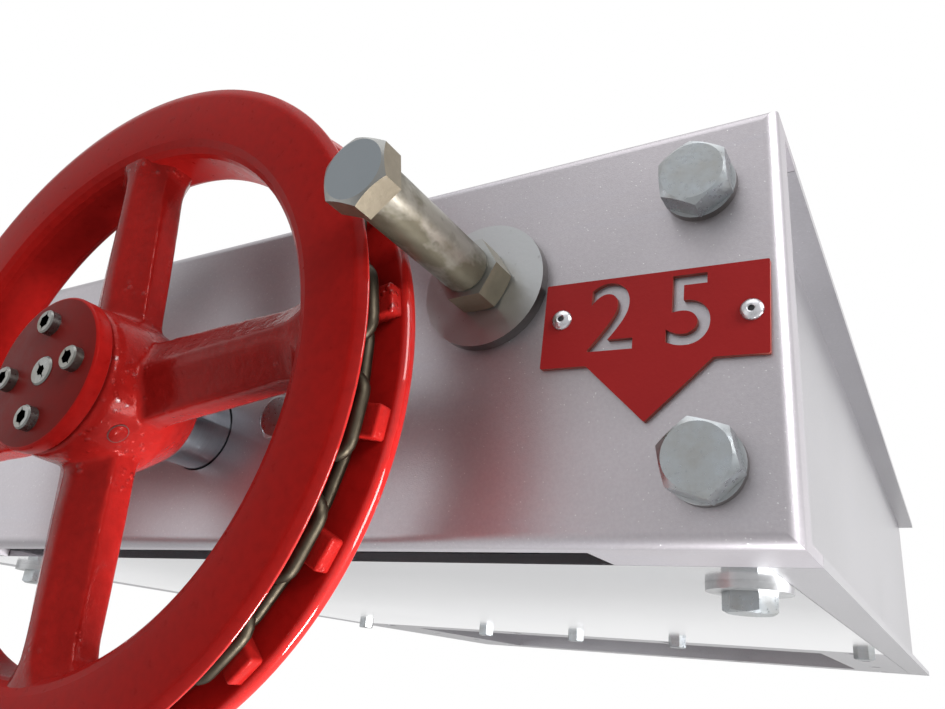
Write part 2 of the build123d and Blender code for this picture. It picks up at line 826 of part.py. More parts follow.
# Blade, its crosshead and the spindle's nut
keep("blade", block(
    (-blade_half, blade_rear, blade_bottom), (blade_half, blade_front, blade_top),
))
keep("crosshead", block(
    (-crosshead_width / 2, blade_rear, blade_top),
    (crosshead_width / 2, blade_rear + crosshead_length, blade_top + crosshead_thickness),
))
with BuildPart() as spindle_nut:
    add(block(
        (-nut_width / 2, blade_rear, shaft_z - nut_drop),
        (nut_width / 2, blade_rear + nut_length, blade_bottom),
    ))
    with BuildSketch(front):
        Circle(thread_radius + nut_clearance)
    extrude(amount=-retract_length, mode=Mode.SUBTRACT)
keep("spindle_nut", spindle_nut.part)

os.makedirs("parts", exist_ok=True)
for name, part in parts.items():
    export_step(part, "parts/" + name + ".step")
print("blade travel", round(blade_travel, 3), "mm;", len(parts), "pieces")
print("yoke face y", yoke_face, "shaft z", shaft_z, "frame back y", flange_back)
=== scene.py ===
# %% [markdown]
# # A slide gate with a chain wheel
# The CAD frame brings every piece with its real size and place. This script adds
# the looks: a painted casting, plated bolts, blasted sheet steel, and the small
# forms that solids leave out, such as the soft roots of the wheel's spokes.

# %% Load the CAD frame
import json
import math
import bmesh
import bpy
from mathutils import Matrix, Vector


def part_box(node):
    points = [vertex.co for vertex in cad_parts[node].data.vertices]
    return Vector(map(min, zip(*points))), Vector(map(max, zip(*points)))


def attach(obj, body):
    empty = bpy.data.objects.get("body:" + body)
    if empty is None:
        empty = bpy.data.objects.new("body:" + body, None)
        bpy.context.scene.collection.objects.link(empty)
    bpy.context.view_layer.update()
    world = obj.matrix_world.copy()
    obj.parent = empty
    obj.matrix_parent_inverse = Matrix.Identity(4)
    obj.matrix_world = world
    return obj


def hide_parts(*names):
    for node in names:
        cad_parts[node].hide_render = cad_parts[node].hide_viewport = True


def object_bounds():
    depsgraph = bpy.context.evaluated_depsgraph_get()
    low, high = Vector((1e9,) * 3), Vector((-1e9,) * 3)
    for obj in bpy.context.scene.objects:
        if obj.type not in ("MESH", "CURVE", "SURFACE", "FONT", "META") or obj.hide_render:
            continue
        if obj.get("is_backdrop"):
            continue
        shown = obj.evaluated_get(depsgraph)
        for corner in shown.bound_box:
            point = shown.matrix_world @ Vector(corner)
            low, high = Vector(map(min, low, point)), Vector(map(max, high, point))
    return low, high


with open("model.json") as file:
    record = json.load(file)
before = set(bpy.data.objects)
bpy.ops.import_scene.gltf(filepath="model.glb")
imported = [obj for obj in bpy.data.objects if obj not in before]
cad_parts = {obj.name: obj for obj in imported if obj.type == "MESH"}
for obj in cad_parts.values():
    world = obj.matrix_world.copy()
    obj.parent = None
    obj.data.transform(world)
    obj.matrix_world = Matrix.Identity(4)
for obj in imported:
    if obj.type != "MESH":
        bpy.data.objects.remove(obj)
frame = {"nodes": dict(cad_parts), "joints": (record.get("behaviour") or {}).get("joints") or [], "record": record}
cad_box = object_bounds()
nodes = frame["nodes"]
record = frame["record"]
MM = 0.001
wheel_joint = next(j for j in frame["joints"] if j["name"] == "wheel_turn")
axle = Vector(wheel_joint["pos_m"])
print("CAD nodes:", len(nodes), "axle at", tuple(axle))

# %% [markdown]
# ## Camera
# The photograph looks up at the gate from below and to the right of the wheel.
# A camera turns in three steps: a heading about the vertical, a rise above the
# horizon, and a roll about the line of sight. Those three angles say more to a
# reader than a matrix, so the camera is built from them.

# %% Camera
camera_place = Vector((305.2, -741.7, -203.2)) * MM
camera_heading = math.radians(31.82)
camera_rise = math.radians(21.74)
camera_roll = math.radians(5.43)
camera_lens = 30.64
sensor_width = 36.0
nearest = 0.01


def linked(name, data):
    """A new object with this data, linked into the scene."""
    made = bpy.data.objects.new(name, data)
    bpy.context.scene.collection.objects.link(made)
    return made


camera_data = bpy.data.cameras.new("camera")
camera_data.lens = camera_lens
camera_data.sensor_width = sensor_width
camera_data.clip_start = nearest
camera = linked("camera", camera_data)
camera.matrix_world = (
    Matrix.Translation(camera_place)
    @ Matrix.Rotation(camera_heading, 4, "Z")
    @ Matrix.Rotation(math.pi / 2 + camera_rise, 4, "X")
    @ Matrix.Rotation(camera_roll, 4, "Z")
)
bpy.context.scene.camera = camera
print("lens:", camera_data.lens, "mm")

# %% [markdown]
# ## A small language for materials
# A procedural material is arithmetic on patterns. Wiring every Math node by hand
# hides that arithmetic, so a small class wraps a socket and lets Python write it:
# `1 - mask` adds one Math node and returns its result as another wrapped socket.

# %% Wrapped sockets
class Amount:
    """A number that varies over a surface: each operator adds one Math node."""

    def __init__(self, wiring, socket):
        self.wiring = wiring
        self.socket = socket

    def _math(self, operation, first, second=0.0):
        return self.wiring.node("ShaderNodeMath", {"operation": operation}, {0: first, 1: second})

    def __add__(self, other):
        return self._math("ADD", self, other)

    __radd__ = __add__

    def __sub__(self, other):
        return self._math("SUBTRACT", self, other)

    def __rsub__(self, other):
        return self._math("SUBTRACT", other, self)

    def __mul__(self, other):
        return self._math("MULTIPLY", self, other)

    __rmul__ = __mul__

    def __pow__(self, other):
        return self._math("POWER", self, other)

    def __abs__(self):
        return self._math("ABSOLUTE", self)


# %% [markdown]
# Every other node comes from a single method: it takes the node's type, then its
# settings, then what goes into its sockets. Settings come first because some of
# them change which sockets exist. Materials and the sky share this method, so it
# belongs to a class of its own, which knows nothing but a tree of nodes.

# %% A tree of nodes
class Wiring:
    """A tree of nodes, and the one method that adds nodes to it."""

    def __init__(self, tree):
        self.tree = tree

    def feed(self, socket, value):
        """Link a wrapped socket, or write a plain value."""
        if isinstance(value, Amount):
            self.tree.links.new(value.socket, socket)
        elif socket.type == "RGBA":
            socket.default_value = (*value, 1.0)
        else:
            socket.default_value = value

    def node(self, kind, settings, sockets, output=0):
        """Add a node of this type: settings first, then its sockets."""
        made = self.tree.nodes.new(kind)
        for setting, value in settings.items():
            setattr(made, setting, value)
        for key, value in sockets.items():
            self.feed(made.inputs[key], value)
        return Amount(self, made.outputs[output])

    def results(self, amount, names):
        """Several outputs of the node that this amount comes from."""
        return [Amount(self, amount.socket.node.outputs[name]) for name in names]


# %% [markdown]
# A finish is one material with its shader. The patterns that finishes are mixed
# from are short methods, named for what they look like. All of them read Object
# coordinates, so a pattern stays on its piece when the piece turns.

# %% One material
class Finish(Wiring):
    """A material and its shader, with the patterns that finishes are mixed from."""

    def __init__(self, name, **shader_values):
        self.material = bpy.data.materials.new(name)
        self.material.use_nodes = True
        super().__init__(self.material.node_tree)
        self.shader = self.tree.nodes["Principled BSDF"]
        self.place = self.node("ShaderNodeTexCoord", {}, {}, "Object")
        self.show(**shader_values)

    def show(self, **values):
        """Send values to the shader's sockets, which Python names with underscores."""
        for socket_name, value in values.items():
            self.feed(self.shader.inputs[socket_name.replace("_", " ")], value)

    def noise(self, scale, detail=3.0, roughness=0.55, place=None):
        """Soft cloudy values from 0 to 1; scale is in spots per metre."""
        sockets = {"Vector": place or self.place, "Scale": scale, "Detail": detail}
        return self.node("ShaderNodeTexNoise", {}, {**sockets, "Roughness": roughness})

    def cells(self, scale):
        """Distance to the nearest of many scattered points."""
        return self.node("ShaderNodeTexVoronoi", {}, {"Vector": self.place, "Scale": scale})

    def between(self, value, low, high):
        """0 up to low, 1 from high on, and a slope between; it falls where high is lower."""
        sockets = {"Value": value, "From Min": low, "From Max": high}
        return self.node("ShaderNodeMapRange", {}, sockets)

    def mix(self, factor, first, second):
        """A colour between two colours."""
        sockets = {0: factor, 6: first, 7: second}
        return self.node("ShaderNodeMix", {"data_type": "RGBA"}, sockets, 2)

    def stretched(self, scale):
        """The place, scaled by axis, so that a pattern gets longer one way."""
        return self.node("ShaderNodeMapping", {}, {"Vector": self.place, "Scale": scale})

    def parted(self, vector):
        """The x, y and z of a vector as three amounts."""
        return self.results(self.node("ShaderNodeSeparateXYZ", {}, {"Vector": vector}), "XYZ")

    def away_from_axle(self):
        """How far a place is from the wheel's axis, in metres."""
        x, _, z = self.parted(self.place)
        down = z - axle.z
        return (x * x + down * down) ** 0.5

    def facing_back(self):
        """How far the surface faces back along the gate: 1 back, -1 front, 0 sideways."""
        return self.parted(self.node("ShaderNodeNewGeometry", {}, {}, "Normal"))[1]

    def bumps(self, height, depth):
        """Small relief: depth is the height of a full step, in metres."""
        sockets = {"Strength": 1.0, "Distance": depth, "Height": height}
        self.feed(self.shader.inputs["Normal"], self.node("ShaderNodeBump", {}, sockets))
        return self


def grey(level):
    """A neutral colour of that brightness."""
    return (level, level, level)


def toned(colour, factor):
    """The same colour, darker below a factor of 1 and lighter above it."""
    return tuple(part * factor for part in colour)


# %% [markdown]
# ## Red paint on cast iron
# The wheel is a rough casting under a thick gloss coat. Three finishes share one recipe of clouds, which are the
# paint's uneven thickness, and skin, which is the sand of the mould: lighter where the paint is thick, and darker
# in the skin's pits as painted shade.
# The recipe returns its patterns, so that each finish adds its own gloss to them.

# %% Red paint
def red_paint(name, dark, light, grain_depth, lump_depth, dullness, sheen):
    """Red gloss paint; returns the finish, its lumps and its clouds."""
    finish = Finish(name, Coat_Roughness=0.05, Coat_IOR=1.45, Specular_IOR_Level=sheen,
                    Specular_Tint=(1.0, 0.16, 0.13))
    clouds = finish.noise(14.0, 4.0)
    skin = finish.noise(260.0, 3.0)
    pits_painted_shade = finish.between(skin, 0.62, 0.30)
    base = finish.mix(finish.between(clouds, 0.3, 0.7), dark, light)
    # Painted shade: the skin's pits, which the bumps sink, are painted darker.
    base = finish.mix(pits_painted_shade * 0.3, base, toned(dark, 0.6))
    finish.show(Base_Color=base, Roughness=finish.between(skin, 0.2, 0.8) * 0.16 + dullness)
    lumps = skin * lump_depth + finish.noise(900.0, 2.0) * grain_depth
    return finish, lumps, clouds


# %% [markdown]
# The spokes, the hub and the ribs keep the skin of the mould. Where the paint ran
# together, at the hub and at the spokes' outer roots, it dried in drops that catch
# the light as small sparks. The distance from the axle tells where those roots
# are, so the drops are masked by it.

# %% Paint on the mould's skin
def cast_paint(name, dark, light, gloss):
    """Paint on the mould's skin, with drops and runs where the paint ran together."""
    finish, lumps, clouds = red_paint(name, dark, light, 0.06, 0.28, 0.14, 0.14)
    away = finish.away_from_axle()
    at_hub = finish.between(away, 0.066, 0.040)
    at_rim = finish.between(away, 0.094, 0.108)
    wet = finish.between(finish.noise(75.0, 3.0), 0.52, 0.62) * (at_hub + at_rim)
    drops = finish.between(finish.cells(300.0), 0.40, 0.14) * wet
    thick = finish.between(clouds, 0.25, 0.75)
    finish.show(Coat_Weight=drops * 0.6 + thick * gloss + gloss * 0.5)
    return finish.bumps(lumps + drops * 0.45, 0.001).material


cast_red = cast_paint("cast_red", (0.18, 0.0065, 0.0055), (0.25, 0.0085, 0.0070), 0.05)
print("cast finish:", cast_red.name)

# %% [markdown]
# The rim and the cap were turned before they were painted. Their faces are satin,
# and only the rounded outer edges shine. An edge is where the surface turns away
# from the gate's length, so the surface's own direction is the mask, and a radius
# keeps the gloss off the inner edges.

# %% Paint on turned faces
def turned_paint(name, dark, light, dullness, edge_gloss, edge_radius):
    """Paint on turned faces: satin there, and glossy on the edges outside a radius."""
    finish, lumps, clouds = red_paint(name, dark, light, 0.006, 0.03, dullness, 0.05)
    outside = finish.between(finish.away_from_axle(), edge_radius - 0.003, edge_radius)
    edge = finish.between(abs(finish.facing_back()), 0.97, 0.80) * outside
    finish.show(Coat_Weight=edge * finish.between(clouds, 0.1, 0.6) * edge_gloss)
    return finish.bumps(lumps, 0.001).material


turned_red = turned_paint("turned_red", (0.25, 0.0070, 0.0060), (0.30, 0.0085, 0.0070),
                          dullness=0.24, edge_gloss=0.8, edge_radius=0.139)
# The cap's face takes this darker copy of the rim's red as painted shade.
cap_red_painted_shade = turned_paint("cap_red_painted_shade", (0.12, 0.0080, 0.0070), (0.145, 0.0095, 0.0085),
                       dullness=0.34, edge_gloss=0.6, edge_radius=0.0295)
print("turned finishes:", turned_red.name, cap_red_painted_shade.name)

# %% [markdown]
# ## Blasted and polished sheet
# The folded yoke is stainless sheet with a blasted face: it mirrors what stands before it as a soft blur, and
# single facets glint. Fine noise in the roughness and a faint relief give both, and the glinting facets are also
# painted lighter into the colour, as painted glints. The covers are the same sheet with its mill gloss.

# %% Sheet finishes
def sheet_steel(name, colour, dullness, blast, tint):
    """Stainless sheet: cloudy, faintly streaked, with specks left by the blasting and painted glints."""
    finish = Finish(name)
    clouds = finish.noise(7.0, 5.0, 0.6)
    streaks = finish.noise(1.0, 4.0, 0.6, finish.stretched((9.0, 9.0, 160.0)))
    grain = finish.noise(2600.0, 1.0)
    speckle = finish.noise(820.0, 2.0)
    facets = finish.between(finish.cells(520.0), 0.16, 0.05)
    painted_glints = facets * finish.between(finish.noise(240.0), 0.45, 0.62)
    base = finish.mix(finish.between(clouds, 0.3, 0.7), toned(colour, 0.88), colour)
    base = finish.mix(finish.between(streaks, 0.55, 0.8) * 0.25, base, tint)
    base = finish.mix(finish.between(speckle, 0.35, 0.65) * 0.16, base, toned(colour, 0.62))
    # Painted glints: the glinting facets are painted light grey into the colour.
    base = finish.mix(painted_glints * 0.5, base, grey(0.85))
    uneven = finish.between(clouds, 0.2, 0.8) * 0.06 + grain * 0.06
    finish.show(Base_Color=base, Metallic=0.95 - painted_glints * 0.2,
                Roughness=uneven + (dullness - 0.06))
    return finish.bumps(grain * blast + painted_glints * (blast * 1.5), 0.0001).material


yoke_sheet = sheet_steel("blasted_sheet", (0.385, 0.365, 0.388), 0.40, 0.5, (0.34, 0.35, 0.42))
rail_sheet = sheet_steel("rolled_sheet", (0.42, 0.41, 0.43), 0.30, 0.25, (0.36, 0.37, 0.42))
cover_sheet = sheet_steel("mill_gloss_sheet", (0.70, 0.70, 0.72), 0.10, 0.05, (0.60, 0.62, 0.68))
print("sheet finishes:", yoke_sheet.name, rail_sheet.name, cover_sheet.name)

# %% [markdown]
# ## Plated steel
# Zinc plate is bluish grey with cloudy crystals, and where it has worn or was
# passivated it turns olive. So it is a metal whose colour goes from fresh to worn
# with soft clouds, and whose roughness follows the crystals.

# %% Plated finishes
def plated(name, colour, worn_colour, worn, dullness):
    """Zinc plate; the larger worn is, the more of it shows the second colour."""
    finish = Finish(name)
    clouds = finish.noise(90.0, 4.0, 0.6)
    spots = finish.noise(420.0, 3.0)
    crystals = finish.cells(520.0)
    base = finish.mix(finish.between(clouds, 0.5 - worn, 1.0 - worn), colour, worn_colour)
    base = finish.mix(finish.between(spots, 0.62, 0.78) * 0.5, base, toned(colour, 0.55))
    uneven = crystals * 0.12 + finish.between(clouds, 0.2, 0.8) * 0.1
    finish.show(Base_Color=base, Metallic=0.96 - finish.between(spots, 0.6, 0.8) * 0.3,
                Roughness=uneven + dullness)
    return finish.bumps(spots * 0.5 + crystals * 0.25, 0.00008).material


zinc_bolt = plated("zinc_bolt", (0.31, 0.338, 0.365), (0.25, 0.25, 0.24), 0.25, 0.20)
zinc_washer = plated("zinc_washer", (0.46, 0.47, 0.475), (0.33, 0.33, 0.335), 0.34, 0.24)
zinc_small = plated("zinc_small", (0.20, 0.21, 0.215), (0.13, 0.12, 0.10), 0.30, 0.20)
chain_zinc = plated("chain_zinc", (0.060, 0.050, 0.036), (0.032, 0.026, 0.018), 0.45, 0.36)
rivet_bright = plated("rivet_bright", (0.52, 0.52, 0.54), (0.42, 0.42, 0.44), 0.30, 0.18)
print("plated finishes:", zinc_bolt.name, zinc_washer.name, zinc_small.name, chain_zinc.name,
      rivet_bright.name)

# %% [markdown]
# The long keeper bolts stand out of the face. Their heads are bluish and their flats and shanks olive, and the
# finish picks the colour by the way a surface faces, as painted light and shade: the head's end looks along the
# bolt, the rest sideways. On the washers the sides are painted dark.

# %% Keeper bolt finishes
def zinc_with_painted_facing_light(name, front_lit_colour, side_shade_colour):
    """Zinc with one colour on the faces that look out to the front, another elsewhere, as painted light and shade.
    """
    finish = Finish(name)
    # Painted light and shade: the colour follows the way the surface faces, not the zinc.
    painted_facing_light = finish.between(finish.facing_back() * -1.0, 0.75, 0.95)
    clouds = finish.noise(60.0, 4.0, 0.6)
    spots = finish.noise(500.0, 3.0)
    side = finish.mix(finish.between(clouds, 0.35, 0.7), side_shade_colour, toned(side_shade_colour, 0.72))
    base = finish.mix(painted_facing_light, side, front_lit_colour)
    base = finish.mix(finish.between(spots, 0.66, 0.8) * 0.5, base, grey(0.12))
    finish.show(Base_Color=base, Metallic=0.9 - finish.between(spots, 0.6, 0.8) * 0.3,
                Roughness=finish.between(clouds, 0.2, 0.8) * 0.12 + 0.26)
    return finish.bumps(spots * 0.6 + clouds * 0.3, 0.0001).material


# The second colour is painted on the sideways faces: olive on the bolts and nuts, and dark as painted shade on the
# washers' edges.
keeper_zinc = zinc_with_painted_facing_light("keeper_zinc", (0.19, 0.21, 0.225), (0.20, 0.17, 0.125))
nut_zinc = zinc_with_painted_facing_light("nut_zinc", (0.33, 0.34, 0.335), (0.27, 0.235, 0.17))
face_washer_zinc = zinc_with_painted_facing_light("face_washer_zinc", (0.37, 0.38, 0.39), (0.13, 0.12, 0.115))
print("keeper finishes:", keeper_zinc.name, nut_zinc.name, face_washer_zinc.name)

# %% [markdown]
# The chain has rubbed the sleeves of those bolts, so their olive skin has large
# pale patches. The patches are longer along the sleeve, which a stretched noise
# gives, and they are smoother than the skin round them.

# %% Sleeve finish
def mottled(name, pale, olive, dullness):
    """An old olive skin of zinc, rubbed pale in large patches."""
    finish = Finish(name)
    patches = finish.noise(62.0, 4.0, 0.6, finish.stretched((1.0, 0.55, 1.0)))
    spots = finish.noise(380.0, 3.0)
    base = finish.mix(finish.between(patches, 0.47, 0.60), olive, pale)
    base = finish.mix(finish.between(spots, 0.60, 0.76) * 0.4, base, toned(olive, 0.5))
    finish.show(Base_Color=base, Metallic=finish.between(patches, 0.3, 0.6) * 0.25 + 0.65,
                Roughness=0.16 - finish.between(patches, 0.4, 0.6) * 0.10 + dullness)
    return finish.bumps(spots * 0.6 + patches * 2.0, 0.0001).material


sleeve_zinc = mottled("sleeve_zinc", (0.215, 0.20, 0.17), (0.075, 0.066, 0.046), 0.30)
print("sleeve finish:", sleeve_zinc.name)

# %% [markdown]
# ## Turned steel and bronze
# A lathe leaves fine rings on a shaft and on its end faces. A noise with a single
# dimension makes them: it reads the place along the shaft plus the distance from
# its axis, so it draws rings on the one and circles on the other.

# %% Turned finishes
def turned(name, colour, ring_scale, dullness):
    """Bare metal from the lathe, with ring_scale rings per metre."""
    finish = Finish(name)
    along_shaft = finish.parted(finish.place)[1]
    across = along_shaft + finish.away_from_axle()
    rings = finish.node("ShaderNodeTexNoise", {"noise_dimensions": "1D"},
                        {"W": across, "Scale": ring_scale, "Detail": 3.0})
    clouds = finish.noise(60.0, 3.0)
    base = finish.mix(finish.between(rings, 0.35, 0.65), toned(colour, 0.82), colour)
    base = finish.mix(finish.between(clouds, 0.6, 0.8) * 0.4, base, toned(colour, 0.6))
    finish.show(Base_Color=base, Metallic=1.0 - finish.between(clouds, 0.6, 0.9) * 0.2,
                Roughness=rings * 0.12 + dullness)
    return finish.bumps(rings, 0.00004).material


turned_steel = turned("turned_steel", (0.38, 0.43, 0.47), 2400.0, 0.14)
machined_bronze = turned("machined_bronze", (0.50, 0.33, 0.13), 1600.0, 0.22)
print("lathe finishes:", turned_steel.name, machined_bronze.name)

# %% [markdown]
# ## Cast iron and ground plate
# The bearing housing is bare grey iron with the skin of its mould. The same rough finish, made near black, is
# painted shade in the screws' sockets and the rivets' holes, and it darkens the joint round the plug as painted
# shade too. The blade is ground along its travel, so its noise is stretched into long strokes.

# %% Cast and ground finishes
def cast_grey(name, colour):
    """Bare iron as it leaves the mould."""
    finish = Finish(name)
    skin = finish.noise(320.0, 5.0, 0.65)
    clouds = finish.noise(25.0, 3.0)
    base = finish.mix(finish.between(clouds, 0.3, 0.7), colour, toned(colour, 1.5))
    finish.show(Base_Color=base, Roughness=skin * 0.25 + 0.5,
                Metallic=finish.between(skin, 0.4, 0.7) * 0.3)
    return finish.bumps(skin, 0.0006).material


def ground(name, colour, dullness):
    """Plate that was ground along the gate's length."""
    finish = Finish(name)
    strokes = finish.noise(1.0, 3.0, 0.6, finish.stretched((900.0, 14.0, 900.0)))
    clouds = finish.noise(9.0, 4.0)
    base = finish.mix(finish.between(strokes, 0.3, 0.7), toned(colour, 0.8), colour)
    base = finish.mix(finish.between(clouds, 0.55, 0.8) * 0.3, base, toned(colour, 0.6))
    finish.show(Base_Color=base, Roughness=strokes * 0.2 + dullness,
                Metallic=1.0 - finish.between(clouds, 0.5, 0.9) * 0.2)
    return finish.bumps(strokes, 0.00005).material


housing_iron = cast_grey("housing_iron", (0.10, 0.10, 0.105))
painted_shade_dark = cast_grey("painted_shade_dark", (0.06, 0.06, 0.065))
joint_and_painted_shade = cast_grey("joint_and_painted_shade", (0.045, 0.008, 0.007))
blade_ground = ground("blade_ground", (0.50, 0.50, 0.52), 0.22)
print("bare finishes:", housing_iron.name, painted_shade_dark.name, joint_and_painted_shade.name, blade_ground.name)

# %% [markdown]
# ## Sign enamel
# The two sign plates are red enamel on cut sheet. The face is satin, and the cut
# shows the bare metal, browned by the torch.

# %% Sign finishes
def enamel(name, colour, dullness):
    """Enamel with the faint dimples of a sprayed coat."""
    finish = Finish(name, Specular_IOR_Level=0.35, Specular_Tint=(1.0, 0.3, 0.3))
    clouds = finish.noise(22.0, 4.0)
    peel = finish.noise(700.0, 2.0)
    base = finish.mix(finish.between(clouds, 0.3, 0.7), toned(colour, 0.9), colour)
    finish.show(Base_Color=base, Roughness=peel * 0.12 + dullness)
    return finish.bumps(peel, 0.00006).material


sign_enamel = enamel("sign_enamel", (0.27, 0.0145, 0.0150), 0.30)
sign_cut = enamel("sign_cut", (0.17, 0.035, 0.025), 0.45)
print("sign finishes:", sign_enamel.name, sign_cut.name)

# %% [markdown]
# ## Dressing the CAD nodes
# A CAD node whose shape is right only needs a better material. A table pairs each
# record slot with a finish, and a second table names the nodes that differ.

# %% Materials of the CAD nodes
slot_finish = {
    "frame_grey": rail_sheet, "zinc_steel": zinc_bolt, "sign_red": sign_enamel,
    "rivet_aluminium": rivet_bright, "cast_iron": housing_iron, "wheel_red": turned_red,
    "chain_steel": chain_zinc, "bright_steel": turned_steel, "blade_steel": blade_ground,
    "nut_bronze": machined_bronze,
}
node_finish = {
    "yoke": yoke_sheet, "bottom_cover": cover_sheet, "top_cover": cover_sheet,
    "keeper_bolts": keeper_zinc, "keeper_nuts": nut_zinc, "keeper_washers": face_washer_zinc,
    "yoke_washers": face_washer_zinc, "cover_washers": zinc_washer,
}
for subpart in record["subparts"]:
    name = subpart["node"]
    mesh = nodes[name].data
    mesh.materials.clear()
    mesh.materials.append(node_finish.get(name, slot_finish[subpart["material_slot"]]))
print("dressed nodes:", len(record["subparts"]), "of them by name:", len(node_finish))

# %% [markdown]
# ## Helpers for new pieces
# New pieces are drawn in millimetres, in the way a turner thinks: a radius from
# the axle and a distance out from the yoke's face. One helper moves such a drawing
# into the frame, and another makes the finished piece and hangs it on its body.

# %% Making and placing
def to_frame(bm):
    """From millimetres about the axle to metres in the frame."""
    place = Matrix.Translation(axle) @ Matrix.Scale(MM, 4)
    bmesh.ops.transform(bm, matrix=place, verts=bm.verts)


def make_piece(bm, name, materials, body, replaced=(), crease=35.0):
    """Close and orient the mesh, and hang the finished piece on its body."""
    bmesh.ops.remove_doubles(bm, verts=bm.verts, dist=1e-6)
    bmesh.ops.recalc_face_normals(bm, faces=bm.faces)
    mesh = bpy.data.meshes.new(name)
    bm.to_mesh(mesh)
    bm.free()
    mesh.shade_smooth()
    mesh.set_sharp_from_angle(angle=math.radians(crease))
    for material in materials:
        mesh.materials.append(material)
    piece = linked(name, mesh)
    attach(piece, body)
    if replaced:
        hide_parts(*replaced)
    print(name, "faces:", len(mesh.polygons))


# %% [markdown]
# Screws and rivets go exactly where the CAD has them. One CAD node holds several
# separate solids, and a walk from point to point along the edges finds each one:
# all that can be reached from a first point is one solid.

# %% Separate solids of a node
def solids_of(name):
    """Lowest and highest corner of each separate solid of a CAD node."""
    bm = bmesh.new()
    bm.from_mesh(nodes[name].data)
    bmesh.ops.remove_doubles(bm, verts=bm.verts, dist=1e-6)
    left = set(bm.verts)
    found = []
    while left:
        group = {left.pop()}
        to_visit = list(group)
        while to_visit:
            vert = to_visit.pop()
            near = {edge.other_vert(vert) for edge in vert.link_edges} & left
            left -= near
            group |= near
            to_visit.extend(near)
        low = Vector(min(v.co[i] for v in group) for i in range(3))
        high = Vector(max(v.co[i] for v in group) for i in range(3))
        found.append((low, high))
    bm.free()
    return sorted(found, key=lambda box: tuple(box[0]))


print("rivets found:", len(solids_of("sign_rivets")), "screws:", len(solids_of("cap_screws")))

# %% [markdown]
# Most of the wheel is turned, so a lathe is the first tool: a few points give the
# profile, and a full spin about the Y direction gives the body. `use_merge` joins
# the end of the turn to its start.

# %% A profile, turned about the wheel's axis
def turn_profile(bm, profile, steps, centre=(0, 0, 0), closed=True):
    """Spin points (radius, distance out) a full turn about the Y direction."""
    middle = Vector(centre)
    verts = [bm.verts.new(middle + Vector((radius, -out, 0))) for radius, out in profile]
    edges = [bm.edges.new(pair) for pair in zip(verts, verts[1:])]
    if closed:
        edges.append(bm.edges.new((verts[-1], verts[0])))
    bmesh.ops.spin(bm, geom=verts + edges, cent=middle, axis=(0, 1, 0), angle=2 * math.pi,
                   steps=steps, use_merge=True)


def round_corner(bm, radius, out, offset, segments):
    """Round the ring of edges at this radius and distance out."""
    corner = [edge for edge in bm.edges if all(
        abs(vert.co.xz.length - radius) < 0.1 and abs(vert.co.y + out) < 0.1
        for vert in edge.verts)]
    bmesh.ops.bevel(bm, geom=corner, offset=offset, segments=segments, profile=0.5,
                    affect="EDGES", material=-1)


# %% [markdown]
# ## The wheel's rim
# The real rim was cast and then turned on its faces. It is a body of revolution,
# so a profile is spun about the axle. The outer front corner is a narrow bright
# land, which catches the light all the way round, and bevels on the other corners
# give the soft edge of paint over metal.

# %% Rim
rim_radius = 146.2
rim_front, land_out, rim_back = 67.0, 65.2, 36.0
face_edge = 141.5
groove_floor = 121.8
groove_front, groove_back = 60.0, 42.0
rim_profile = [
    (113.0, 44.0), (113.0, 60.0), (113.7, 62.7), (115.8, 64.9), (118.9, 66.5), (122.5, rim_front),
    (face_edge, rim_front), (rim_radius, land_out), (144.8, 63.4), (140.4, groove_front),
    (groove_floor, groove_front), (groove_floor, groove_back),
    (rim_radius, groove_back), (rim_radius, rim_back),
    (121.0, rim_back), (117.9, 36.6), (115.3, 38.3), (113.6, 40.9),
]
rim_corners = [
    (groove_floor, groove_back, 2.0, 3), (groove_floor, groove_front, 2.0, 3),
    (rim_radius, groove_back, 3.2, 7), (rim_radius, rim_back, 1.6, 7),
    (face_edge, rim_front, 1.2, 2), (rim_radius, land_out, 0.9, 7),
]
rim = bmesh.new()
turn_profile(rim, rim_profile, 180)
for radius, out, offset, segments in rim_corners:
    round_corner(rim, radius, out, offset, segments)
to_frame(rim)
make_piece(rim, "wheel_rim", [turned_red], "drive", crease=14.0)

# %% [markdown]
# Ribs on both flanges of the groove keep the flat links from slipping. They are
# cast, so each is a block with well rounded edges, sunk a little into the flange
# and the groove's floor.

# %% Groove ribs
rib_count = 19
rib_start = math.radians(10.9)
rib_width = 12.4
rib_round = 1.3
rib_rows = ((121.0, 143.4, 41.0, 48.0), (121.0, 137.2, 55.2, 61.0))
ribs = bmesh.new()
for inner, outer, low, high in rib_rows:
    for i in range(rib_count):
        turn = rib_start + 2 * math.pi * i / rib_count
        middle = Vector(((inner + outer) / 2, -(low + high) / 2, 0))
        place = Matrix.Rotation(-turn, 4, "Y") @ Matrix.Translation(middle)
        size = Matrix.Diagonal((outer - inner, high - low, rib_width, 1.0))
        bmesh.ops.create_cube(ribs, size=1.0, matrix=place @ size)
bmesh.ops.bevel(ribs, geom=ribs.edges[:], offset=rib_round, segments=3, profile=0.5,
                affect="EDGES", material=-1)
to_frame(ribs)
make_piece(ribs, "groove_ribs", [cast_red], "drive")

# %% [markdown]
# ## Spokes and hub
# Four spokes with a ridge run from a stepped hub into the rim. A spoke is drawn as
# eight-sided sections along its length, which are bridged to each other, so that
# its width, depth and ridge can change from the hub to the rim. The first spoke is
# then copied round the axle.

# %% Spoke sections
spoke_angle = math.radians(5.5)
spoke_out = 51.0
BMVert, BMEdge, BMFace = bmesh.types.BMVert, bmesh.types.BMEdge, bmesh.types.BMFace


def only(kind, items):
    """The points, edges or faces among what an operator returned."""
    return [item for item in items if isinstance(item, kind)]


